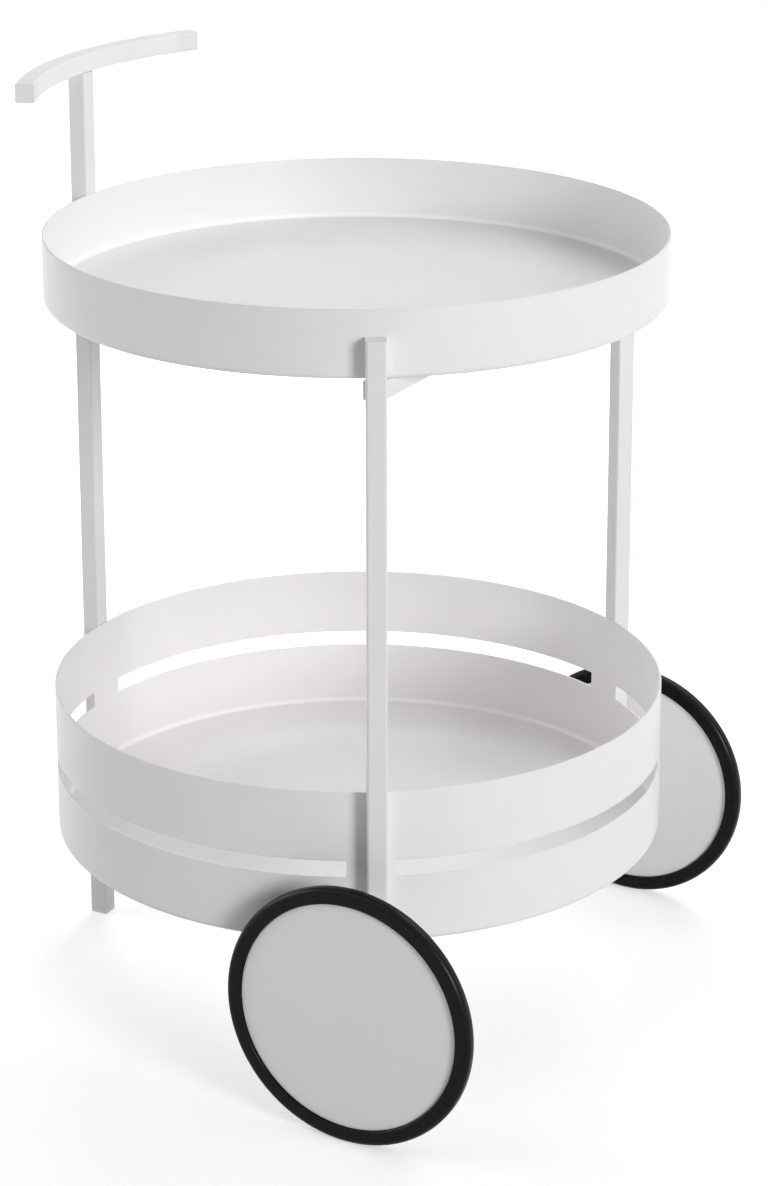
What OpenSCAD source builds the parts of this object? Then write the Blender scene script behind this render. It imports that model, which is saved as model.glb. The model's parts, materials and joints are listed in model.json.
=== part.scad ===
// Round two-tier serving trolley on two large disc wheels and one rear foot.
// +Y is the way it rolls, +X its right-hand side, +Z up, floor at z = 0, millimetres.

/* [Trays] */
// Outer diameter of both trays
tray_d = 580; // [520:5:640]
// Thickness of the tray sheet
sheet_t = 2; // [1:0.25:3]
// Outer radius of the bend between a tray's floor and its wall
tray_bend_r = 5; // [3.5:0.5:10]
// Height of the top tray's wall
top_wall_h = 62; // [48:2:100]
// Height of the lower tray's wall
low_wall_h = 145; // [110:1:180]
// Height of the top tray's underside above the floor
top_tray_z = 692; // [600:4:760]
// Height of the lower tray's underside above the floor
low_tray_z = 169; // [150:1:240]

/* [Lower tray slots] */
// Height of the slots' lower edge above the tray's underside
slot_z = 64; // [20:1:80]
// Height of the slots
slot_h = 15; // [6:1:24]
// Width of the solid bridges between the slots, along the wall
bridge_w = 43; // [32:1:80]
// Turn of the two front bridges past the middle of their legs, in degrees
bridge_turn = 1; // [0:0.25:1.5]

/* [Legs and bars] */
// Outside width of the square tube
tube_w = 18; // [15:1:22]
// Wall of the square tube
tube_t = 1.5; // [1:0.25:2]
// Outer corner radius of the square tube
tube_r = 2; // [1:0.25:3]
// Angle from straight ahead to each wheel leg, in degrees
leg_angle = 58.4; // [54:0.2:63]
// How far the wheel legs reach up the top tray's wall
leg_lap = 38; // [20:1:46]
// How far the wheel legs reach below the axle line
leg_drop = 17; // [15:1:30]
// Thickness of the caps that close the ends of the tubes
cap_t = 2; // [1:0.5:4]
// Length of the caps' plugs inside the tubes
plug_l = 5; // [3:0.5:6]
// Gap between a plug and the tube wall on each side
plug_gap = 0.1; // [0.05:0.05:0.4]
// Height of the foot pad under the rear leg
foot_h = 3; // [2:0.5:8]

/* [Handle] */
// Height of the handle's underside above the floor
handle_z = 872; // [840:2:960]
// Radius of the handle's bend at its inner face
handle_bend_r = 315; // [240:5:500]
// Straight distance between the ends of the bent tube at its inner face
handle_span = 270; // [210:2:330]
// Length of the straight pieces that close the ends of the handle
handle_cap_l = 10; // [2:1:20]

/* [Wheels] */
// Outer diameter of a wheel
wheel_d = 244; // [210:2:250]
// Radial height of the tyre outside the disc
tyre_h = 14.5; // [10:0.5:20]
// Width of the tyre
tyre_w = 14; // [13:0.5:20]
// Shoulder radius of the tyre
shoulder_r = 5.5; // [2:0.5:6]
// Radius of the tyre's edge where it meets the disc
tyre_lip_r = 1.5; // [0.5:0.25:3]
// Thickness of the wheel disc
disc_t = 8; // [6:0.5:12]
// Edge radius of the wheel disc
disc_edge_r = 1; // [0.5:0.25:2]
// Depth of the groove in the disc's edge that holds the tyre
groove_h = 3; // [1:0.5:6]
// Width of that groove
groove_w = 4; // [2:0.5:5]
// Side gap between the trays' wall and the tyre
tyre_gap = 5.5; // [3:0.5:15]

/* [Axles] */
// Diameter of the stub axle
axle_d = 10; // [8:0.5:10.5]
// Radial running clearance of the axle in its bushes
axle_clear = 0.05; // [0.02:0.01:0.1]
// Distance of the axle line behind the middle of the wheel legs
axle_setback = 3; // [0:0.5:5]
// Wall of a bush
bush_t = 1.5; // [1:0.25:2]
// Length of a bush inside the housing
bush_l = 12; // [8:1:18]
// Thickness of a bush's flange
bush_flange_t = 1.5; // [1:0.25:3]
// Diameter of a bush's flange
bush_flange_d = 18; // [16.5:0.5:24]
// Wall of the axle housing
housing_t = 1.5; // [1:0.25:2]
// Length of the axle housing
housing_l = 44; // [38:1:50]
// End play between the turning and the fixed pieces
end_play = 0.3; // [0.2:0.05:0.6]
// Diameter of the thread on the axle's inner end
axle_thread_d = 8; // [6:0.5:8]
// Length of the thread past the lock nut
thread_past = 2; // [1:0.5:4]
// Thickness of the axle's washers
axle_washer_t = 1.2; // [1:0.1:2]
// Diameter of the axle's washers
axle_washer_d = 17; // [16:0.5:22]
// Width across the flats of the lock nut
lock_nut_af = 13; // [12:0.5:15]
// Height of the hexagon of the lock nut
lock_nut_h = 6; // [4:0.5:8]
// Height of the locking collar on the nut
lock_collar_h = 2; // [1:0.5:3]

/* [Wheel hubs] */
// Diameter of the hub's boss round the axle
boss_d = 24; // [18:1:28]
// Diameter of the hub's flange on the disc
hub_flange_d = 64; // [52:2:80]
// Thickness of the hub's flange
hub_flange_t = 4; // [3:0.5:6]
// Diameter of the circle that the hub screws stand on
hub_pcd = 46; // [44:1:48]
// Number of hub screws in one wheel
hub_screws_n = 4; // [3:1:6]
// Diameter of a hub screw
hub_screw_d = 4; // [3:0.5:5]
// Length of a hub screw inside the disc
hub_screw_bite = 5.5; // [3:0.5:6]
// Diameter of a hub screw's head
hub_head_d = 8; // [7:0.5:9]
// Height of a hub screw's head
hub_head_h = 2.6; // [2:0.2:3.6]

/* [Tray fasteners] */
// Distance of the front studs from the middle line
stud_x = 100; // [60:5:190]
// Distance of the rear stud behind the tray's middle
stud_y = 150; // [60:5:200]
// Diameter of a stud
stud_d = 6; // [5:0.5:8]
// Clearance round a stud in the bars, on the radius
stud_clear = 0.3; // [0.1:0.1:0.6]
// Diameter of a stud's washer
stud_washer_d = 14; // [12:0.5:16]
// Thickness of a stud's washer
stud_washer_t = 1.6; // [1:0.2:2.4]
// Width across the flats of the cap nut
cap_nut_af = 10; // [10:0.5:12.5]
// Height of the cap nut's hexagon
cap_nut_h = 5; // [4:0.5:8]

/* [Hidden] */
$fn = 96;

tube_colour = "white";
tray_colour = "whitesmoke";
disc_colour = "gainsboro";
tyre_colour = [0.09, 0.09, 0.1];
steel_colour = "silver";
bush_colour = "dimgray";
cap_colour = "snow";

// Small overlap that makes cutting shapes pass right through
cut = 1;

tray_r = tray_d / 2;
wheel_r = wheel_d / 2;
disc_r = wheel_r - tyre_h;
axle_z = wheel_r;

// Distances from the trays' middle, along the way that the trolley rolls
axle_ahead = (tray_r + tube_w / 2) * cos(leg_angle) - axle_setback;
bar_ahead = tray_r * cos(leg_angle);
front_reach = max(tray_r, axle_ahead + wheel_r);
rear_reach = tray_r + tube_w;

// The trays' middle is set so that the origin lies under the middle of the whole trolley
tray_y = (rear_reach - front_reach) / 2;
axle_y = tray_y + axle_ahead;
bar_y = tray_y + bar_ahead;

leg_top_z = top_tray_z + leg_lap;
leg_bottom_z = axle_z - leg_drop;
leg_x = (tray_r + tube_w / 2) * sin(leg_angle);

// Distances from the middle plane, along the axle, from the inner end outwards
housing_in = leg_x - housing_l / 2;
housing_out = leg_x + housing_l / 2;
journal_in = housing_in - bush_flange_t - end_play;
nut_in = journal_in - axle_washer_t - lock_nut_h;
thread_in = nut_in - lock_collar_h - thread_past;
thrust_in = housing_out + bush_flange_t + end_play;
hub_in = thrust_in + axle_washer_t;
wheel_mid = tray_r + tyre_gap + tyre_w / 2;
disc_in = wheel_mid - disc_t / 2;

housing_bore_r = axle_d / 2 + axle_clear + bush_t;
housing_r = housing_bore_r + housing_t;

tyre_round_r = min(shoulder_r, tyre_w / 2 - 0.5, tyre_h - tyre_lip_r - 1);
stud_end_z = stud_washer_t + cap_nut_h;

// Places of the studs seen from above
STUD_PLACES = [[stud_x, bar_y], [-stud_x, bar_y], [0, tray_y - stud_y]];
FRONT_LEG_ANGLES = [leg_angle, -leg_angle];
BRIDGE_ANGLES = [-leg_angle - bridge_turn, leg_angle + bridge_turn, 180];

// Round hexagon radius from its width across the flats
function hex_r(af) = af / 2 / cos(30);

// Stands the children at the outside of the trays' wall, at an angle from straight ahead
module at_wall(angle) {
    translate([0, tray_y, 0]) rotate([0, 0, -angle]) translate([0, tray_r, 0]) children();
}

// Lays the children's z axis along the axle, pointing away from the middle plane
module along_axle(side) {
    mirror([side < 0 ? 1 : 0, 0, 0])
        translate([0, axle_y, axle_z]) rotate([0, 90, 0]) children();
}

// Filled square with round corners, centred
module tube_outline(w) {
    square([w - 2 * tube_r, w], center = true);
    square([w, w - 2 * tube_r], center = true);
    for (x = [-1, 1], y = [-1, 1])
        translate([x * (w / 2 - tube_r), y * (w / 2 - tube_r)]) circle(tube_r);
}

module tube_section() {
    difference() {
        tube_outline(tube_w);
        square(tube_w - 2 * tube_t, center = true);
    }
}

// Straight square tube standing on its middle
module tube(length) {
    linear_extrude(length) tube_section();
}

// Plug that fits inside a tube, below z = 0, with a cap above it
module tube_cap(cap_h) {
    linear_extrude(cap_h) tube_outline(tube_w);
    plug_w = tube_w - 2 * (tube_t + plug_gap);
    translate([-plug_w / 2, -plug_w / 2, -plug_l]) cube([plug_w, plug_w, plug_l + cut / 2]);
}

// Flat ring standing on z = 0
module ring(outer_r, inner_r, h) {
    difference() {
        cylinder(r = outer_r, h = h);
        translate([0, 0, -cut]) cylinder(r = inner_r, h = h + 2 * cut);
    }
}

// Tubes of the frame

module front_leg(angle) {
    color(tube_colour) difference() {
        at_wall(angle) translate([0, tube_w / 2, leg_bottom_z + cap_t])
            tube(leg_top_z - leg_bottom_z - 2 * cap_t);
        along_axle(angle) translate([0, 0, housing_in]) cylinder(r = housing_r, h = housing_l);
    }
}

module leg_right() { front_leg(leg_angle); }

module leg_left() { front_leg(-leg_angle); }

module leg_rear() {
    color(tube_colour) at_wall(180) translate([0, tube_w / 2, foot_h]) tube(handle_z - foot_h);
}

module leg_top_caps() {
    color(cap_colour) for (angle = FRONT_LEG_ANGLES)
        at_wall(angle) translate([0, tube_w / 2, leg_top_z - cap_t]) tube_cap(cap_t);
}

module leg_bottom_caps() {
    color(cap_colour) for (angle = FRONT_LEG_ANGLES)
        at_wall(angle) translate([0, tube_w / 2, leg_bottom_z + cap_t])
            rotate([180, 0, 0]) tube_cap(cap_t);
}

module rear_foot() {
    color(cap_colour) at_wall(180) translate([0, tube_w / 2, foot_h])
        rotate([180, 0, 0]) tube_cap(foot_h);
}

// Handle, a bent tube lying on the rear leg's top

handle_half_angle = asin(handle_span / 2 / handle_bend_r);
handle_centre_y = tray_y - tray_r + handle_bend_r;

module handle_bar() {
    color(tube_colour)
        translate([0, handle_centre_y, handle_z + tube_w / 2])
            rotate([0, 0, -90 - handle_half_angle])
                rotate_extrude(angle = 2 * handle_half_angle)
                    translate([handle_bend_r + tube_w / 2, 0]) tube_section();
}

module handle_end_caps() {
    color(cap_colour) for (side = [-1, 1])
        mirror([side < 0 ? 1 : 0, 0, 0])
            translate([0, handle_centre_y, handle_z + tube_w / 2])
                rotate([0, 0, handle_half_angle - 90])
                    translate([handle_bend_r + tube_w / 2, 0, 0])
                        rotate([-90, 0, 0]) tube_cap(handle_cap_l);
}

// Bars under the trays, a cross bar between the wheel legs and an arm to the rear leg

module stud_holes(z) {
    for (place = STUD_PLACES)
        translate([place[0], place[1], z - tube_w - cut])
            cylinder(r = stud_d / 2 + stud_clear, h = tube_w + 2 * cut);
}

module cross_bar(z) {
    color(tube_colour) difference() {
        translate([-tray_r, bar_y, z - tube_w / 2]) rotate([0, 90, 0]) tube(2 * tray_r);
        for (angle = FRONT_LEG_ANGLES)
            at_wall(angle) translate([-tray_r, 0, z - tube_w - cut])
                cube([2 * tray_r, tray_r, tube_w + 2 * cut]);
        stud_holes(z);
    }
}

module rear_arm(z) {
    arm_l = tray_r + bar_ahead - tube_w / 2;
    color(tube_colour) difference() {
        translate([0, tray_y - tray_r, z - tube_w / 2]) rotate([-90, 0, 0]) tube(arm_l);
        stud_holes(z);
    }
}

module top_cross_bar() { cross_bar(top_tray_z); }

module top_rear_arm() { rear_arm(top_tray_z); }

module lower_cross_bar() { cross_bar(low_tray_z); }

module lower_rear_arm() { rear_arm(low_tray_z); }

// Trays, each spun from one sheet

module drum_section(r, h, corner_r) {
    square([r - corner_r, h]);
    translate([0, corner_r]) square([r, h - corner_r]);
    translate([r - corner_r, corner_r]) circle(corner_r);
}

module tray(wall_h) {
    translate([0, tray_y, 0]) rotate_extrude() intersection() {
        difference() {
            drum_section(tray_r, wall_h, tray_bend_r);
            translate([0, sheet_t])
                drum_section(tray_r - sheet_t, wall_h, tray_bend_r - sheet_t);
        }
        square([tray_r, wall_h]);
    }
}

// One slot, open between the bridges at two angles from straight ahead
module slot(from_angle, to_angle) {
    half_bridge = asin(bridge_w / 2 / tray_r);
    sweep = to_angle - from_angle - 2 * half_bridge;
    translate([0, tray_y, slot_z]) rotate([0, 0, 90 - to_angle + half_bridge])
        rotate_extrude(angle = sweep)
            translate([tray_r - sheet_t - cut, 0]) square([sheet_t + 2 * cut, slot_h]);
}

module top_tray() {
    color(tray_colour) translate([0, 0, top_tray_z]) tray(top_wall_h);
}

module lower_tray() {
    color(tray_colour) translate([0, 0, low_tray_z]) difference() {
        tray(low_wall_h);
        slot(BRIDGE_ANGLES[0], BRIDGE_ANGLES[1]);
        slot(BRIDGE_ANGLES[1], BRIDGE_ANGLES[2]);
        slot(BRIDGE_ANGLES[2] - 360, BRIDGE_ANGLES[0]);
    }
}

// Studs welded under each tray, with a washer and a cap nut below the bars

module at_studs(z) {
    for (place = STUD_PLACES) translate([place[0], place[1], z]) children();
}

module studs(tray_z) {
    color(steel_colour) at_studs(tray_z - tube_w - stud_end_z)
        cylinder(d = stud_d, h = tube_w + stud_end_z);
}

module washers(tray_z) {
    color(steel_colour) at_studs(tray_z - tube_w - stud_washer_t)
        ring(stud_washer_d / 2, stud_d / 2 + stud_clear, stud_washer_t);
}

module cap_nuts(tray_z) {
    dome_r = cap_nut_af / 2 - 0.3;
    color(steel_colour) at_studs(tray_z - tube_w - stud_end_z) difference() {
        union() {
            cylinder(r = hex_r(cap_nut_af), h = cap_nut_h, $fn = 6);
            sphere(dome_r);
        }
        cylinder(d = stud_d, h = cap_nut_h + cut);
    }
}

module top_tray_studs() { studs(top_tray_z); }

module top_tray_washers() { washers(top_tray_z); }

module top_tray_nuts() { cap_nuts(top_tray_z); }

module lower_tray_studs() { studs(low_tray_z); }

module lower_tray_washers() { washers(low_tray_z); }

module lower_tray_nuts() { cap_nuts(low_tray_z); }

// Axle housings welded through the wheel legs, each with two flanged bushes

module axle_housing(side) {
    color(tube_colour) along_axle(side) translate([0, 0, housing_in])
        ring(housing_r, housing_bore_r, housing_l);
}

// Flanged bush pushed into the housing's mouth, its flange below z = 0
module bush() {
    bore_r = axle_d / 2 + axle_clear;
    difference() {
        union() {
            cylinder(r = housing_bore_r, h = bush_l);
            translate([0, 0, -bush_flange_t]) cylinder(d = bush_flange_d, h = bush_flange_t);
        }
        translate([0, 0, -bush_flange_t - cut])
            cylinder(r = bore_r, h = bush_l + bush_flange_t + 2 * cut);
    }
}

module inner_bush(side) {
    color(bush_colour) along_axle(side) translate([0, 0, housing_in]) bush();
}

module outer_bush(side) {
    color(bush_colour) along_axle(side) translate([0, 0, housing_out]) mirror([0, 0, 1]) bush();
}

module axle_housing_right() { axle_housing(1); }

module axle_housing_left() { axle_housing(-1); }

module inner_bush_right() { inner_bush(1); }

module inner_bush_left() { inner_bush(-1); }

module outer_bush_right() { outer_bush(1); }

module outer_bush_left() { outer_bush(-1); }

// Wheels, each a flat disc with a tyre in a groove and a hub on the inner face

module groove_section(extra) {
    translate([disc_r - groove_h, -groove_w / 2]) square([groove_h + extra, groove_w]);
}

module disc_section() {
    edge_x = disc_r - disc_edge_r;
    edge_y = disc_t / 2 - disc_edge_r;
    translate([0, -disc_t / 2]) square([edge_x, disc_t]);
    translate([0, -edge_y]) square([disc_r, 2 * edge_y]);
    for (y = [-edge_y, edge_y]) translate([edge_x, y]) circle(disc_edge_r);
}

module tyre_section() {
    flank_x = wheel_r - tyre_round_r;
    flank_y = tyre_w / 2 - tyre_round_r;
    lip_x = disc_r + tyre_lip_r;
    lip_y = tyre_w / 2 - tyre_lip_r;
    translate([lip_x, -tyre_w / 2]) square([flank_x - lip_x, tyre_w]);
    translate([disc_r, -lip_y]) square([tyre_lip_r + cut / 2, 2 * lip_y]);
    translate([flank_x - cut / 2, -flank_y]) square([tyre_round_r + cut / 2, 2 * flank_y]);
    for (y = [-flank_y, flank_y]) translate([flank_x, y]) circle(tyre_round_r);
    for (y = [-lip_y, lip_y]) translate([lip_x, y]) circle(tyre_lip_r);
    groove_section(cut);
}

module at_hub_screws() {
    for (i = [0 : hub_screws_n - 1])
        rotate([0, 0, (i + 0.5) * 360 / hub_screws_n]) translate([hub_pcd / 2, 0, 0]) children();
}

module wheel_disc(side) {
    color(disc_colour) along_axle(side) difference() {
        translate([0, 0, wheel_mid]) rotate_extrude() difference() {
            disc_section();
            groove_section(cut);
        }
        translate([0, 0, disc_in - cut])
            at_hub_screws() cylinder(d = hub_screw_d, h = hub_screw_bite + cut);
    }
}

module tyre(side) {
    color(tyre_colour) along_axle(side) translate([0, 0, wheel_mid]) rotate_extrude() tyre_section();
}

module wheel_hub(side) {
    color(steel_colour) along_axle(side) difference() {
        union() {
            translate([0, 0, hub_in]) cylinder(d = boss_d, h = disc_in - hub_in);
            translate([0, 0, disc_in - hub_flange_t]) cylinder(d = hub_flange_d, h = hub_flange_t);
        }
        translate([0, 0, hub_in - cut]) cylinder(d = axle_d, h = disc_in - hub_in + 2 * cut);
        translate([0, 0, disc_in - hub_flange_t - cut])
            at_hub_screws() cylinder(d = hub_screw_d, h = hub_flange_t + 2 * cut);
    }
}

module hub_screws(side) {
    socket_af = hub_screw_d / 2;
    socket_h = hub_head_h / 2;
    color(steel_colour) along_axle(side) translate([0, 0, disc_in - hub_flange_t - hub_head_h])
        at_hub_screws() difference() {
            union() {
                cylinder(d = hub_head_d, h = hub_head_h);
                cylinder(d = hub_screw_d, h = hub_head_h + hub_flange_t + hub_screw_bite);
            }
            translate([0, 0, -cut]) cylinder(r = hex_r(socket_af), h = socket_h + cut, $fn = 6);
        }
}

module axle(side) {
    color(steel_colour) along_axle(side) {
        translate([0, 0, journal_in]) cylinder(d = axle_d, h = disc_in - journal_in);
        translate([0, 0, thread_in]) cylinder(d = axle_thread_d, h = journal_in - thread_in + cut);
    }
}

module thrust_washer(side) {
    color(steel_colour) along_axle(side) translate([0, 0, thrust_in])
        ring(axle_washer_d / 2, axle_d / 2, axle_washer_t);
}

module axle_washer(side) {
    color(steel_colour) along_axle(side) translate([0, 0, journal_in - axle_washer_t])
        ring(axle_washer_d / 2, axle_thread_d / 2, axle_washer_t);
}

module lock_nut(side) {
    color(steel_colour) along_axle(side) difference() {
        union() {
            translate([0, 0, nut_in]) cylinder(r = hex_r(lock_nut_af), h = lock_nut_h, $fn = 6);
            translate([0, 0, nut_in - lock_collar_h])
                cylinder(d = lock_nut_af - 1, h = lock_collar_h + cut);
        }
        translate([0, 0, nut_in - lock_collar_h - cut])
            cylinder(d = axle_thread_d, h = lock_nut_h + lock_collar_h + 2 * cut);
    }
}

module wheel_disc_right() { wheel_disc(1); }

module wheel_disc_left() { wheel_disc(-1); }

module tyre_right() { tyre(1); }

module tyre_left() { tyre(-1); }

module wheel_hub_right() { wheel_hub(1); }

module wheel_hub_left() { wheel_hub(-1); }

module hub_screws_right() { hub_screws(1); }

module hub_screws_left() { hub_screws(-1); }

module axle_right() { axle(1); }

module axle_left() { axle(-1); }

module thrust_washer_right() { thrust_washer(1); }

module thrust_washer_left() { thrust_washer(-1); }

module axle_washer_right() { axle_washer(1); }

module axle_washer_left() { axle_washer(-1); }

module lock_nut_right() { lock_nut(1); }

module lock_nut_left() { lock_nut(-1); }

leg_right();
leg_left();
leg_rear();
leg_top_caps();
leg_bottom_caps();
rear_foot();
handle_bar();
handle_end_caps();
top_cross_bar();
top_rear_arm();
lower_cross_bar();
lower_rear_arm();
top_tray();
lower_tray();
top_tray_studs();
top_tray_washers();
top_tray_nuts();
lower_tray_studs();
lower_tray_washers();
lower_tray_nuts();
axle_housing_right();
outer_bush_right();
inner_bush_right();
axle_housing_left();
outer_bush_left();
inner_bush_left();
wheel_disc_right();
tyre_right();
wheel_hub_right();
hub_screws_right();
axle_right();
thrust_washer_right();
axle_washer_right();
lock_nut_right();
wheel_disc_left();
tyre_left();
wheel_hub_left();
hub_screws_left();
axle_left();
thrust_washer_left();
axle_washer_left();
lock_nut_left();
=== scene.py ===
import json
import math

import bmesh
import bpy
from mathutils import Matrix, Vector


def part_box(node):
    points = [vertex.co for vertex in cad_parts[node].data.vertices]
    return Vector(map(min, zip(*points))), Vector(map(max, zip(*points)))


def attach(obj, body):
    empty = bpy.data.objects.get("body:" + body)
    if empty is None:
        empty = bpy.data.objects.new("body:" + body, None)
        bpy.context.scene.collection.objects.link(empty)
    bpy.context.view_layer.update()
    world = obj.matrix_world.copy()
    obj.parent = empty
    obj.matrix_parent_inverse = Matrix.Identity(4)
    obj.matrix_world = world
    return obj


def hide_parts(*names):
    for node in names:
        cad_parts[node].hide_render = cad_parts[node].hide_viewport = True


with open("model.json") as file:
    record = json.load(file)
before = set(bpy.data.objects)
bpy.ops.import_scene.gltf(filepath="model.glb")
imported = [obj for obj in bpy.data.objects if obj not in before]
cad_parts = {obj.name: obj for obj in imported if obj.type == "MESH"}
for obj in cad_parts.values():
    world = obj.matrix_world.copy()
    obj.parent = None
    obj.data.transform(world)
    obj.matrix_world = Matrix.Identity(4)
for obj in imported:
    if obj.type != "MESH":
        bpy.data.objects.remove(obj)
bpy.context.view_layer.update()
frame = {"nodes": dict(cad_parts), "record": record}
nodes = frame["nodes"]
BODIES = frame["record"]["behaviour"]["bodies"]
SLOTS = {part["node"]: part["material_slot"] for part in frame["record"]["subparts"]}

# Camera, found from the photograph's outlines
CAMERA_AZIMUTH = 118.1
CAMERA_ELEVATION = 16.63
CAMERA_DISTANCE = 3.226
CAMERA_TARGET_RIGHT = 0.0329
CAMERA_TARGET_HEIGHT = 0.593
CAMERA_ROLL = -0.09
CAMERA_LENS = 104.4
CAMERA_SENSOR = 36.0
CAMERA_SHIFT_Y = -0.169

# Lights: degrees from the camera's azimuth (positive is to its right), elevation, distance, size, watts,
# and whether glossy surfaces mirror them
LIGHT_TARGET = Vector((0.0, 0.0, 0.45))
LIGHTS = {
    "key_light": (36.1, 17, 8.0, 2.4, 374.8, True),
    "left_light": (-100, 20, 3.0, 1.8, 33.6, True),
    "back_light": (180, 20, 3.0, 1.8, 47.8, False),
    "high_back_light": (150, 50, 3.0, 2.0, 17.8, True),
    "high_right_light": (100, 50, 3.0, 2.0, 21.6, True),
    "high_left_light": (-50, 50, 3.0, 2.0, 10.8, True),
}
AMBIENT = 0.02

# Floor and backdrop: size, grey, and the glow that whitens it and grows between two distances from the middle
PURE_WHITE = (1.0, 1.0, 1.0, 1.0)
FLOOR_RADIUS = 9.0
FLOOR_SIDES = 96
FLOOR_GREY = 0.80
FLOOR_ROUGHNESS = 0.9
FLOOR_GLOW_NEAR = 0.45
FLOOR_GLOW_FAR = 1.0
FLOOR_GLOW_START = 0.5
FLOOR_GLOW_END = 2.6

# Colours of the powder coat, the wheel discs' lacquered board, and the rubber, zinc and plastic parts
WHITE = (0.866, 0.850, 0.866)
WHITE_CLOUD = (0.842, 0.826, 0.842)
WHITE_EDGE = (0.805, 0.79, 0.804)
# painted highlight that whitens the hollow bends of the sheet
WHITE_BEND_HIGHLIGHT = (0.935, 0.92, 0.935)
BOARD = (0.895, 0.877, 0.877)
BOARD_CLOUD = (0.87, 0.852, 0.854)
BOARD_FIBRE = (0.855, 0.835, 0.833)
# painted highlight that lightens the board's edges
BOARD_EDGE_HIGHLIGHT = (0.905, 0.888, 0.888)
RUBBER = (0.0030, 0.0019, 0.0031)
RUBBER_DUST = (0.0088, 0.0073, 0.0085)
ZINC = (0.60, 0.60, 0.62)
ZINC_MOTTLE = (0.46, 0.47, 0.49)
ZINC_EDGE = (0.75, 0.75, 0.76)
CAP_WHITE = (0.855, 0.842, 0.854)
CAP_CLOUD = (0.825, 0.812, 0.824)
BUSH_BLACK = (0.05, 0.05, 0.052)
BUSH_CLOUD = (0.035, 0.035, 0.037)

# Pointiness, which is 0.5 on a flat face: where it begins and ends to mean an outer edge, greyed as wear on
# the powder coat and lightened as a painted highlight on the board, or a hollow bend, whitened as a painted
# highlight
EDGE_FROM = 0.51
EDGE_TO = 0.54
HOLLOW_FROM = 0.497
HOLLOW_TO = 0.485

# Powder coat: how much coarser its waves are than its orange peel
WAVE_TO_PEEL = 9

# Zinc: how its turning marks are squeezed along X, Y and Z
TURNING_MARKS = (6.0, 1.0, 1.0)

# Moulded plastic: how much lighter its edges are, and how far its roughness varies
PLASTIC_EDGE_LIFT = 1.08
PLASTIC_ROUGHNESS_SPREAD = 0.14

# Blender's own order of the colour sockets on a mix node
MIX_FIRST = 6
MIX_SECOND = 7
MIX_RESULT = 2

# Trays: sheet thickness, inner and outer radius of the bend, rounding of the rims, and the slots' heights,
# with the width and the places of the bridges between them
SHEET = 0.002
BEND_INSIDE = 0.003
BEND_OUTSIDE = 0.005
SHEET_EDGE = 0.0006
SLOT_LOW = 0.064
SLOT_HIGH = 0.079
BRIDGE_WIDTH = 0.043
BRIDGE_ANGLES = (59.4, 180.0, 300.6)

# Fineness of the turned pieces, the least turn beside a slot's end, and the angle of a sharp edge
FULL_TURN = 360.0
TURN_STEPS = 360
LEAST_TURN = 0.4
BEND_STEPS = 8
RIM_STEPS = 3
SHARP_ANGLE = 35

# Softened edges: rounding of moulded parts, how close joined points lie, the least angle of an edge that is
# rounded, and the steps of its rounding
MOULDED_EDGE = 0.0005
SAME_POINT = 0.000001
SOFTEN_ANGLE = 40
SOFTEN_STEPS = 3

# Widths of the flat bands kept beside bends and rims, which hold the edge wear, the painted highlights and
# the shading close to them
FLAT_BANDS = (0.002, 0.004)

# Wheels: edge of the disc, and shoulder and lip of the tyre
DISC_EDGE = 0.001
DISC_RADIUS = 0.1075
TYRE_SHOULDER = 0.0055
TYRE_LIP = 0.0015

# Weld beads: thickness, length and depth of a ripple, length of a thin end and the share of the section
# left there, distance between rings, and a direction that no seam follows
BEAD_RADIUS = 0.0017
RIPPLE_LENGTH = 0.0016
RIPPLE_DEPTH = 0.15
BEAD_TAPER = 0.0015
BEAD_TIP = 0.1
BEAD_STEP = 0.0003
BEAD_SIDES = 10
ASKEW = Vector((1.0, 1.0, 1.0))

# What the beads join: the square tubes, the legs' places round the trays, and the axle housings
TUBE = 0.018
TRAY_RADIUS = 0.29
LEG_ANGLE = 58.4
HOUSING_RADIUS = 0.00805
HOUSING_STEPS = 96


def towards(azimuth, elevation):
    """Unit vector from the middle of the scene towards a viewer at that azimuth and elevation."""
    turn, rise = math.radians(azimuth), math.radians(elevation)
    return Vector((math.sin(turn) * math.cos(rise), -math.cos(turn) * math.cos(rise), math.sin(rise)))


# Materials


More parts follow.
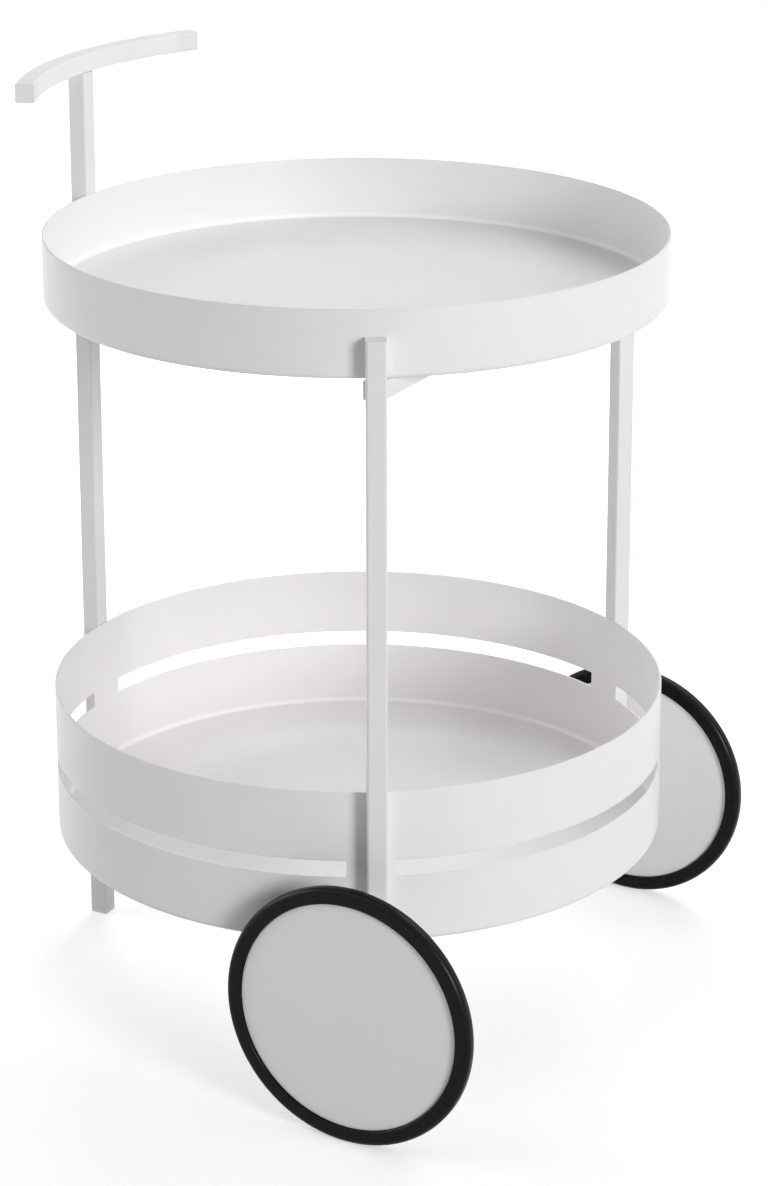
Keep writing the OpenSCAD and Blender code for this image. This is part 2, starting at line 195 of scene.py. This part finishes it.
class Material:
    """A node material with short names for the nodes that the finishes share."""

    def __init__(self, name):
        self.mat = bpy.data.materials.new(name)
        self.mat.use_nodes = True
        self.tree = self.mat.node_tree
        self.bsdf = self.tree.nodes["Principled BSDF"]
        self.place = self.node("ShaderNodeTexCoord").outputs["Object"]

    def node(self, kind, **settings):
        made = self.tree.nodes.new(kind)
        for key, value in settings.items():
            setattr(made, key, value)
        return made

    def link(self, output, target):
        self.tree.links.new(output, target)

    def noise(self, scale, detail=2.0, roughness=0.5, where=None):
        made = self.node("ShaderNodeTexNoise")
        made.inputs["Scale"].default_value = scale
        made.inputs["Detail"].default_value = detail
        made.inputs["Roughness"].default_value = roughness
        self.link(where or self.place, made.inputs["Vector"])
        return made.outputs["Fac"]

    def stretch(self, scale):
        """The object's coordinates, scaled apart along X, Y and Z."""
        made = self.node("ShaderNodeMapping")
        made.inputs["Scale"].default_value = scale
        self.link(self.place, made.inputs["Vector"])
        return made.outputs["Vector"]

    def ramp(self, value, low, high, from_low=0.3, from_high=0.7):
        """A value spread between two others, as it goes from from_low to from_high."""
        made = self.node("ShaderNodeMapRange", clamp=True)
        made.inputs["From Min"].default_value = from_low
        made.inputs["From Max"].default_value = from_high
        made.inputs["To Min"].default_value = low
        made.inputs["To Max"].default_value = high
        self.link(value, made.inputs["Value"])
        return made.outputs["Result"]

    def blend(self, factor, first, second):
        """A colour between two colours, each a tuple or an output."""
        made = self.node("ShaderNodeMix", data_type="RGBA")
        self.link(factor, made.inputs["Factor"])
        for socket, colour in ((made.inputs[MIX_FIRST], first), (made.inputs[MIX_SECOND], second)):
            if isinstance(colour, tuple):
                socket.default_value = (*colour, 1.0)
            else:
                self.link(colour, socket)
        return made.outputs[MIX_RESULT]

    def pointiness(self):
        return self.node("ShaderNodeNewGeometry").outputs["Pointiness"]

    def edge_wear_and_highlight(self):
        """Near 1 on outer edges and corners, near 0 elsewhere: worn edges on the powder coat, a painted
        highlight on the board.
        """
        return self.ramp(self.pointiness(), low=0.0, high=1.0, from_low=EDGE_FROM, from_high=EDGE_TO)

    def painted_bend_highlight(self):
        """Near 1 in a sheet's hollow bends, where the painted highlight goes, near 0 elsewhere."""
        return self.ramp(self.pointiness(), low=1.0, high=0.0, from_low=HOLLOW_TO, from_high=HOLLOW_FROM)

    def bump(self, height, depth, strength, under=None):
        """A normal bent by a height, with the depth in metres, on top of another one."""
        made = self.node("ShaderNodeBump")
        made.inputs["Strength"].default_value = strength
        made.inputs["Distance"].default_value = depth
        self.link(height, made.inputs["Height"])
        if under:
            self.link(under, made.inputs["Normal"])
        return made.outputs["Normal"]

    def finish(self, colour, roughness, normal, **values):
        """The finished material. The values are the shader's own, the same all over the surface."""
        for socket, output in (("Base Color", colour), ("Roughness", roughness), ("Normal", normal)):
            self.link(output, self.bsdf.inputs[socket])
        for socket, value in values.items():
            self.bsdf.inputs[socket.replace("_", " ")].default_value = value
        return self.mat


def powder_coat(name, peel_scale):
    """White powder coat: faint clouds and specks, orange peel, greyer worn edges, and a painted highlight
    that whitens the hollow bends.
    """
    m = Material(name)
    cloud = m.ramp(m.noise(scale=7.0, detail=4.0, roughness=0.6), low=0.0, high=1.0)
    speck = m.ramp(m.noise(scale=1500.0), low=0.0, high=0.25, from_low=0.55, from_high=0.8)
    coat = m.blend(cloud, WHITE, WHITE_CLOUD)
    coat = m.blend(speck, coat, WHITE_EDGE)
    coat = m.blend(m.edge_wear_and_highlight(), coat, WHITE_EDGE)
    # painted highlight: the hollow bends are whitened
    coat = m.blend(m.painted_bend_highlight(), coat, WHITE_BEND_HIGHLIGHT)
    roughness = m.ramp(m.noise(scale=40.0, detail=3.0), low=0.54, high=0.66)
    wave = m.bump(m.noise(scale=peel_scale / WAVE_TO_PEEL), depth=0.00015, strength=0.35)
    peel = m.noise(scale=peel_scale, detail=3.0, roughness=0.55)
    normal = m.bump(peel, depth=0.00004, strength=0.5, under=wave)
    return m.finish(coat, roughness, normal, Coat_Weight=0.3, Coat_Roughness=0.2)


def lacquered_board(name):
    """Fibreboard under satin lacquer: very flat, with faint clouds and fibres, and edges lightened as a
    painted highlight.
    """
    m = Material(name)
    cloud = m.ramp(m.noise(scale=11.0, detail=5.0, roughness=0.62), low=0.0, high=1.0)
    fibre = m.ramp(m.noise(scale=420.0, detail=4.0, roughness=0.7), low=0.0, high=0.35)
    colour = m.blend(cloud, BOARD, BOARD_CLOUD)
    colour = m.blend(fibre, colour, BOARD_FIBRE)
    # painted highlight: the board's edges are lightened
    colour = m.blend(m.edge_wear_and_highlight(), colour, BOARD_EDGE_HIGHLIGHT)
    roughness = m.ramp(m.noise(scale=25.0, detail=3.0), low=0.5, high=0.62)
    wave = m.bump(m.noise(scale=60.0), depth=0.0001, strength=0.25)
    normal = m.bump(m.noise(scale=700.0, detail=3.0), depth=0.00003, strength=0.35, under=wave)
    return m.finish(colour, roughness, normal, Coat_Weight=0.04, Coat_Roughness=0.3)


def tyre_rubber(name):
    """Smooth black rubber with faint dust, scuffs and moulding texture."""
    m = Material(name)
    dust = m.ramp(
        m.noise(scale=90.0, detail=5.0, roughness=0.65), low=0.0, high=1.0, from_low=0.5, from_high=0.85
    )
    colour = m.blend(dust, RUBBER, RUBBER_DUST)
    scuff = m.noise(scale=300.0, detail=4.0, roughness=0.7)
    roughness = m.ramp(scuff, low=0.24, high=0.4)
    wave = m.bump(m.noise(scale=45.0), depth=0.0002, strength=0.3)
    normal = m.bump(m.noise(scale=900.0, detail=3.0), depth=0.00002, strength=0.4, under=wave)
    return m.finish(
        colour, roughness, normal, Specular_IOR_Level=0.1, Coat_Weight=0.07, Coat_Roughness=0.13
    )


def zinc_steel(name):
    """Zinc-plated steel: mottled grey with turning marks."""
    m = Material(name)
    mottle = m.ramp(m.noise(scale=260.0, detail=5.0, roughness=0.65), low=0.0, high=1.0)
    colour = m.blend(mottle, ZINC, ZINC_MOTTLE)
    colour = m.blend(m.edge_wear_and_highlight(), colour, ZINC_EDGE)
    roughness = m.ramp(mottle, low=0.26, high=0.42)
    lines = m.noise(scale=900.0, where=m.stretch(TURNING_MARKS))
    return m.finish(colour, roughness, m.bump(lines, depth=0.00003, strength=0.6), Metallic=1.0)


def moulded_plastic(name, light, dark, roughness):
    """Injection-moulded plastic with a fine spark-eroded grain."""
    m = Material(name)
    cloud = m.ramp(m.noise(scale=120.0, detail=3.0), low=0.0, high=1.0)
    colour = m.blend(cloud, light, dark)
    colour = m.blend(m.edge_wear_and_highlight(), colour, tuple(min(1.0, c * PLASTIC_EDGE_LIFT) for c in light))
    grain = m.noise(scale=2200.0)
    spread = m.ramp(grain, low=roughness, high=roughness + PLASTIC_ROUGHNESS_SPREAD)
    return m.finish(colour, spread, m.bump(grain, depth=0.00004, strength=0.5))


def seen_or_mirrored(tree):
    """1 for rays from the camera, from a glossy surface or through glass, and 0 for all others."""
    path = tree.nodes.new("ShaderNodeLightPath")
    either = path.outputs["Is Camera Ray"]
    for kind in ("Is Glossy Ray", "Is Transmission Ray"):
        larger = tree.nodes.new("ShaderNodeMath")
        larger.operation = "MAXIMUM"
        tree.links.new(either, larger.inputs[0])
        tree.links.new(path.outputs[kind], larger.inputs[1])
        either = larger.outputs["Value"]
    return either


def floor_material(name):
    """Pale floor that shows white to the camera and in gloss, but keeps the trolley's shadow."""
    m = Material(name)
    m.bsdf.inputs["Base Color"].default_value = (FLOOR_GREY, FLOOR_GREY, FLOOR_GREY, 1.0)
    m.bsdf.inputs["Roughness"].default_value = FLOOR_ROUGHNESS
    m.bsdf.inputs["Specular IOR Level"].default_value = 0.0
    glow = m.node("ShaderNodeEmission")
    reach = m.node("ShaderNodeVectorMath", operation="LENGTH")
    m.link(m.place, reach.inputs[0])
    ring = m.ramp(
        reach.outputs["Value"],
        low=FLOOR_GLOW_NEAR,
        high=FLOOR_GLOW_FAR,
        from_low=FLOOR_GLOW_START,
        from_high=FLOOR_GLOW_END,
    )
    m.link(ring, glow.inputs["Strength"])
    both = m.node("ShaderNodeAddShader")
    m.link(m.bsdf.outputs["BSDF"], both.inputs[0])
    m.link(glow.outputs["Emission"], both.inputs[1])
    pick = m.node("ShaderNodeMixShader")
    m.link(seen_or_mirrored(m.tree), pick.inputs["Fac"])
    m.link(m.bsdf.outputs["BSDF"], pick.inputs[1])
    m.link(both.outputs["Shader"], pick.inputs[2])
    m.link(pick.outputs["Shader"], m.tree.nodes["Material Output"].inputs["Surface"])
    return m.mat


FINISHES = {
    "tube": powder_coat("powder_coat_tube", peel_scale=1100.0),
    "tray": powder_coat("powder_coat_sheet", peel_scale=900.0),
    "hub": powder_coat("powder_coat_hub", peel_scale=1300.0),
    "cap": moulded_plastic("white_plastic", CAP_WHITE, CAP_CLOUD, roughness=0.4),
    "bush": moulded_plastic("black_plastic", BUSH_BLACK, BUSH_CLOUD, roughness=0.45),
    "disc": lacquered_board("lacquered_disc"),
    "tyre": tyre_rubber("tyre_rubber"),
    "fastener": zinc_steel("zinc_steel"),
}


def dress_nodes():
    """Gives each carried-over CAD node the finish of its slot."""
    for node, slot_name in SLOTS.items():
        slots = nodes[node].data.materials
        slots.clear()
        slots.append(FINISHES[slot_name])


def soften_edges(piece, width):
    """Rounds a piece's sharp edges a little, as paint or moulding leaves them."""
    weld = piece.modifiers.new("joined_faces", "WELD")
    weld.merge_threshold = SAME_POINT
    bevel = piece.modifiers.new("soft_edges", "BEVEL")
    bevel.width = width
    bevel.segments = SOFTEN_STEPS
    bevel.limit_method = "ANGLE"
    bevel.angle_limit = math.radians(SOFTEN_ANGLE)
    bevel.harden_normals = True


# Pieces built here in place of CAD nodes, in the same space


def arc(centre, radius, start, end, steps=BEND_STEPS):
    """Points of an arc in the plane, angles in degrees."""
    angles = [math.radians(start + (end - start) * i / steps) for i in range(steps + 1)]
    return [(centre[0] + radius * math.cos(a), centre[1] + radius * math.sin(a)) for a in angles]


def bands_above(edge):
    return [edge + band for band in FLAT_BANDS]


def bands_below(edge):
    return [edge - band for band in reversed(FLAT_BANDS)]


def skin(build, here, there, i, j):
    """One face of a turned skin; it is a triangle where the profile touches the axis."""
    corners = [here[i], there[i], there[j], here[j]]
    build.faces.new(sorted(set(corners), key=corners.index))


def finished_piece(name, build):
    """A smooth-shaded object from a mesh whose faces are all in."""
    bmesh.ops.recalc_face_normals(build, faces=build.faces)
    mesh = bpy.data.meshes.new(name)
    build.to_mesh(mesh)
    build.free()
    mesh.shade_smooth()
    piece = bpy.data.objects.new(name, mesh)
    bpy.context.collection.objects.link(piece)
    return piece


def turned(name, profile, angles, place, window=None, is_open=None):
    """Turns a closed profile of (radius, height) round an axis, where place gives each point.

    A window is four profile points across a sheet: inside low, inside high, outside high, outside low.
    It is left open at the angles where is_open holds, and its rims are closed."""
    build = bmesh.new()
    on_axis = [build.verts.new(place(r, 0.0, h)) if r == 0.0 else None for r, h in profile]
    rings = [
        [shared or build.verts.new(place(r, angle, h)) for shared, (r, h) in zip(on_axis, profile)]
        for angle in angles
    ]
    turns, count = len(angles), len(profile)
    ends = [*angles[1:], angles[0] + FULL_TURN]
    opened = [bool(window) and is_open((a + b) / 2) for a, b in zip(angles, ends)]
    skipped = {window[0], window[2]} if window else set()
    for turn in range(turns):
        here, there = rings[turn], rings[(turn + 1) % turns]
        for i in range(count):
            j = (i + 1) % count
            if not (opened[turn] and i in skipped) and not (on_axis[i] and on_axis[j]):
                skin(build, here, there, i, j)
        if opened[turn]:
            skin(build, here, there, window[0], window[3])
            skin(build, here, there, window[2], window[1])
        if opened[turn] != opened[turn - 1]:
            build.faces.new([here[i] for i in window])
    piece = finished_piece(name, build)
    piece.data.set_sharp_from_angle(angle=math.radians(SHARP_ANGLE))
    return piece


def stands_for(piece, node):
    """Gives a piece the finish and the body of the CAD node that it replaces."""
    piece.data.materials.append(FINISHES[SLOTS[node]])
    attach(piece, next(body for body, names in BODIES.items() if node in names))
    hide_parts(node)


def even_turn(steps):
    return [FULL_TURN * i / steps for i in range(steps)]


def make_tray(node, has_slots):
    """A tray bent from one sheet, with rounded rims and an even skin that carries a smooth sheen."""
    low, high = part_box(node)
    radius, wall = (high.x - low.x) / 2, high.z - low.z
    middle_y = (low.y + high.y) / 2
    inside = radius - SHEET
    half_bridge = math.degrees(math.asin(BRIDGE_WIDTH / 2 / radius))

    def place(reach, angle, height):
        turn = math.radians(angle)
        return (reach * math.sin(turn), middle_y + reach * math.cos(turn), low.z + height)

    def in_slot(angle):
        aside = [(angle - bridge + FULL_TURN / 2) % FULL_TURN - FULL_TURN / 2 for bridge in BRIDGE_ANGLES]
        return all(abs(turn) > half_bridge for turn in aside)

    floor_end, rim = radius - BEND_OUTSIDE, wall - SHEET_EDGE
    heights = bands_above(BEND_OUTSIDE)
    if has_slots:
        heights += [*bands_below(SLOT_LOW), SLOT_LOW, SLOT_HIGH, *bands_above(SLOT_HIGH)]
    heights += bands_below(rim)
    profile = [(0.0, SHEET), *[(r, SHEET) for r in bands_below(floor_end)]]
    profile += arc((floor_end, BEND_OUTSIDE), BEND_INSIDE, -90, 0)
    profile += [(inside, h) for h in heights]
    profile += arc((inside + SHEET_EDGE, rim), SHEET_EDGE, 180, 90, RIM_STEPS)
    profile += arc((radius - SHEET_EDGE, rim), SHEET_EDGE, 90, 0, RIM_STEPS)
    profile += [(radius, h) for h in reversed(heights)]
    profile += arc((floor_end, BEND_OUTSIDE), BEND_OUTSIDE, 0, -90)
    profile += [*[(r, 0.0) for r in reversed(bands_below(floor_end))], (0.0, 0.0)]

    angles = even_turn(TURN_STEPS)
    window = None
    if has_slots:
        inside_low = profile.index((inside, SLOT_LOW))
        outside_high = profile.index((radius, SLOT_HIGH))
        window = (inside_low, inside_low + 1, outside_high, outside_high + 1)
        slot_ends = [bridge + side * half_bridge for bridge in BRIDGE_ANGLES for side in (-1, 1)]
        clear = [a for a in angles if all(abs(a - end) > LEAST_TURN for end in slot_ends)]
        angles = sorted(clear + slot_ends)
    tray = turned(f"{node}_sheet", profile, angles, place, window, in_slot)
    stands_for(tray, node)
    if has_slots:
        soften_edges(tray, SHEET_EDGE)


def wheel_place(node):
    """Gives what turns (radius, angle, offset along the axle) into a point, and the piece's radius and half
    its width."""
    low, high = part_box(node)
    middle = (low + high) / 2

    def place(reach, angle, offset):
        turn = math.radians(angle)
        return (middle.x + offset, middle.y + reach * math.cos(turn), middle.z + reach * math.sin(turn))

    return place, (high.y - low.y) / 2, (high.x - low.x) / 2


def make_disc(node):
    """A flat board with its edge rounded over."""
    place, radius, half = wheel_place(node)
    rim = radius - DISC_EDGE
    profile = [(0.0, -half), *[(r, -half) for r in bands_below(rim)]]
    profile += arc((rim, DISC_EDGE - half), DISC_EDGE, -90, 0, RIM_STEPS)
    profile += arc((rim, half - DISC_EDGE), DISC_EDGE, 0, 90, RIM_STEPS)
    profile += [*[(r, half) for r in reversed(bands_below(rim))], (0.0, half)]
    stands_for(turned(f"{node}_board", profile, even_turn(TURN_STEPS), place), node)


def make_tyre(node):
    """A slim moulded tyre with round shoulders and lips that overlap the disc's edge."""
    place, radius, half = wheel_place(node)
    lip_x, lip_y = DISC_RADIUS + TYRE_LIP, half - TYRE_LIP
    shoulder_x, shoulder_y = radius - TYRE_SHOULDER, half - TYRE_SHOULDER
    profile = arc((lip_x, lip_y), TYRE_LIP, 180, 90)
    profile += arc((shoulder_x, shoulder_y), TYRE_SHOULDER, 90, 0)
    profile += arc((shoulder_x, -shoulder_y), TYRE_SHOULDER, 0, -90)
    profile += arc((lip_x, -lip_y), TYRE_LIP, -90, -180)
    stands_for(turned(f"{node}_rubber", profile, even_turn(TURN_STEPS), place), node)


# Weld beads of the frame


def steps_between(start, end):
    """Points along a straight seam, one for each ring of its bead."""
    count = max(2, round((end - start).length / BEAD_STEP))
    return [start.lerp(end, i / count) for i in range(count + 1)]


def add_bead(build, points, closed=False):
    """A rippled bead along a seam. An open seam's bead thins out towards its ends."""
    lengths = [(b - a).length for a, b in zip(points, points[1:])]
    total, run, rings = sum(lengths), 0.0, []
    ripples = round(total / RIPPLE_LENGTH)
    for i, point in enumerate(points):
        before = points[i - 1] if i or closed else point
        after = points[(i + 1) % len(points)] if i + 1 < len(points) or closed else point
        along = (after - before).normalized()
        across = along.cross(ASKEW).normalized()
        beyond = along.cross(across)
        radius = BEAD_RADIUS * (1.0 + RIPPLE_DEPTH * math.sin(math.tau * ripples * run / total))
        if not closed:
            radius *= math.sqrt(min(1.0, BEAD_TIP + min(run, total - run) / BEAD_TAPER))
        angles = [math.tau * k / BEAD_SIDES for k in range(BEAD_SIDES)]
        offsets = [across * math.cos(a) + beyond * math.sin(a) for a in angles]
        rings.append([build.verts.new(point + offset * radius) for offset in offsets])
        run += lengths[i] if i < len(lengths) else 0.0
    for here, there in zip(rings, rings[1:] + rings[:1] if closed else rings[1:]):
        for k in range(BEAD_SIDES):
            build.faces.new((here[k - 1], here[k], there[k], there[k - 1]))
    if not closed:
        build.faces.new(rings[0])
        build.faces.new(rings[-1])


def bar_seams(tray_node, middle_y):
    """Seams of the bars under one tray: at both wheel legs, at the arm's root, and at the rear leg."""
    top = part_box(tray_node)[0].z
    low = top - TUBE
    seams = []
    turn = math.radians(LEG_ANGLE)
    for mirror in (-1, 1):
        for side in (-1, 1):
            along = side * TUBE / 2
            x = mirror * (TRAY_RADIUS * math.sin(turn) + along * math.cos(turn))
            y = middle_y + TRAY_RADIUS * math.cos(turn) - along * math.sin(turn)
            seams.append((Vector((x, y, low)), Vector((x, y, top))))
        arm_x = mirror * TUBE / 2
        arm_y = middle_y + TRAY_RADIUS * math.cos(turn) - TUBE / 2
        seams.append((Vector((arm_x, arm_y, low)), Vector((arm_x, arm_y, top))))
    rear_y = middle_y - TRAY_RADIUS
    seams.append((Vector((-TUBE / 2, rear_y, low)), Vector((TUBE / 2, rear_y, low))))
    return [steps_between(*seam) for seam in seams]


def housing_seam(housing, middle_y, mirror, outer):
    """The closed seam where an axle housing comes through one side of its leg."""
    low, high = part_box(housing)
    axle_y, axle_z = (low.y + high.y) / 2, (low.z + high.z) / 2
    turn, half = math.radians(LEG_ANGLE), TUBE / 2
    leg_radius = TRAY_RADIUS + half
    leg_x, leg_y = leg_radius * math.sin(turn), middle_y + leg_radius * math.cos(turn)
    sign = 1 if outer else -1
    seam = []
    for i in range(HOUSING_STEPS):
        around = math.tau * i / HOUSING_STEPS
        y = axle_y + HOUSING_RADIUS * math.cos(around)
        z = axle_z + HOUSING_RADIUS * math.sin(around)
        aside = sign * (y - leg_y)
        to_faces = (half + aside * math.sin(turn)) / math.cos(turn)
        to_sides = (half - aside * math.cos(turn)) / math.sin(turn)
        seam.append(Vector((mirror * (leg_x + sign * min(to_faces, to_sides)), y, z)))
    return seam


def make_welds():
    """All painted weld beads of the frame, as one piece that moves with it."""
    low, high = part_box("top_tray")
    middle_y = (low.y + high.y) / 2
    build = bmesh.new()
    for tray_node in ("top_tray", "lower_tray"):
        for seam in bar_seams(tray_node, middle_y):
            add_bead(build, seam)
    for mirror, housing in ((1, "axle_housing_right"), (-1, "axle_housing_left")):
        for outer in (False, True):
            add_bead(build, housing_seam(housing, middle_y, mirror, outer), closed=True)
    welds = finished_piece("weld_beads", build)
    welds.data.materials.append(FINISHES["tube"])
    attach(welds, "frame")


# Studio


def make_floor():
    bpy.ops.mesh.primitive_circle_add(vertices=FLOOR_SIDES, radius=FLOOR_RADIUS, fill_type="NGON")
    floor = bpy.context.object
    floor.name = "studio_floor"
    floor.data.materials.append(floor_material("studio_floor"))


def make_world():
    """Even faint light from all round, and plain white where the camera or a gloss sees past the floor."""
    world = bpy.data.worlds.new("studio")
    bpy.context.scene.world = world
    world.use_nodes = True
    tree = world.node_tree
    ambient = tree.nodes["Background"]
    ambient.inputs["Strength"].default_value = AMBIENT
    ambient.inputs["Color"].default_value = PURE_WHITE
    white = tree.nodes.new("ShaderNodeBackground")
    white.inputs["Color"].default_value = PURE_WHITE
    pick = tree.nodes.new("ShaderNodeMixShader")
    tree.links.new(seen_or_mirrored(tree), pick.inputs["Fac"])
    tree.links.new(ambient.outputs["Background"], pick.inputs[1])
    tree.links.new(white.outputs["Background"], pick.inputs[2])
    tree.links.new(pick.outputs["Shader"], tree.nodes["World Output"].inputs["Surface"])


def make_light(name, turn, elevation, distance, size, watts, mirrored):
    """A square lamp aimed at the middle of the trolley."""
    lamp = bpy.data.lights.new(name, "AREA")
    lamp.shape = "SQUARE"
    lamp.size = size
    lamp.energy = watts
    light = bpy.data.objects.new(name, lamp)
    light.visible_glossy = mirrored
    bpy.context.collection.objects.link(light)
    away = towards(CAMERA_AZIMUTH + turn, elevation)
    light.location = LIGHT_TARGET + away * distance
    light.rotation_euler = (-away).to_track_quat("-Z", "Y").to_euler()


def make_camera():
    data = bpy.data.cameras.new("photo_camera")
    data.lens = CAMERA_LENS
    data.sensor_width = CAMERA_SENSOR
    data.shift_y = CAMERA_SHIFT_Y
    camera = bpy.data.objects.new("photo_camera", data)
    bpy.context.collection.objects.link(camera)
    back = towards(CAMERA_AZIMUTH, CAMERA_ELEVATION)
    turn = math.radians(CAMERA_AZIMUTH)
    right = Vector((math.cos(turn), math.sin(turn), 0.0))
    target = right * CAMERA_TARGET_RIGHT + Vector((0.0, 0.0, CAMERA_TARGET_HEIGHT))
    aim = (-back).to_track_quat("-Z", "Y").to_matrix()
    roll = Matrix.Rotation(math.radians(CAMERA_ROLL), 3, "Z")
    camera.matrix_world = Matrix.Translation(target + back * CAMERA_DISTANCE) @ (aim @ roll).to_4x4()
    bpy.context.scene.camera = camera


dress_nodes()
make_tray("top_tray", False)
make_tray("lower_tray", True)
for side in ("right", "left"):
    make_disc(f"wheel_disc_{side}")
    make_tyre(f"tyre_{side}")
make_welds()
for moulded in ("leg_top_caps", "leg_bottom_caps", "rear_foot", "handle_end_caps"):
    soften_edges(nodes[moulded], MOULDED_EDGE)
make_floor()
make_world()
for light_name, settings in LIGHTS.items():
    make_light(light_name, *settings)
make_camera()
bpy.context.scene.view_settings.view_transform = "Standard"
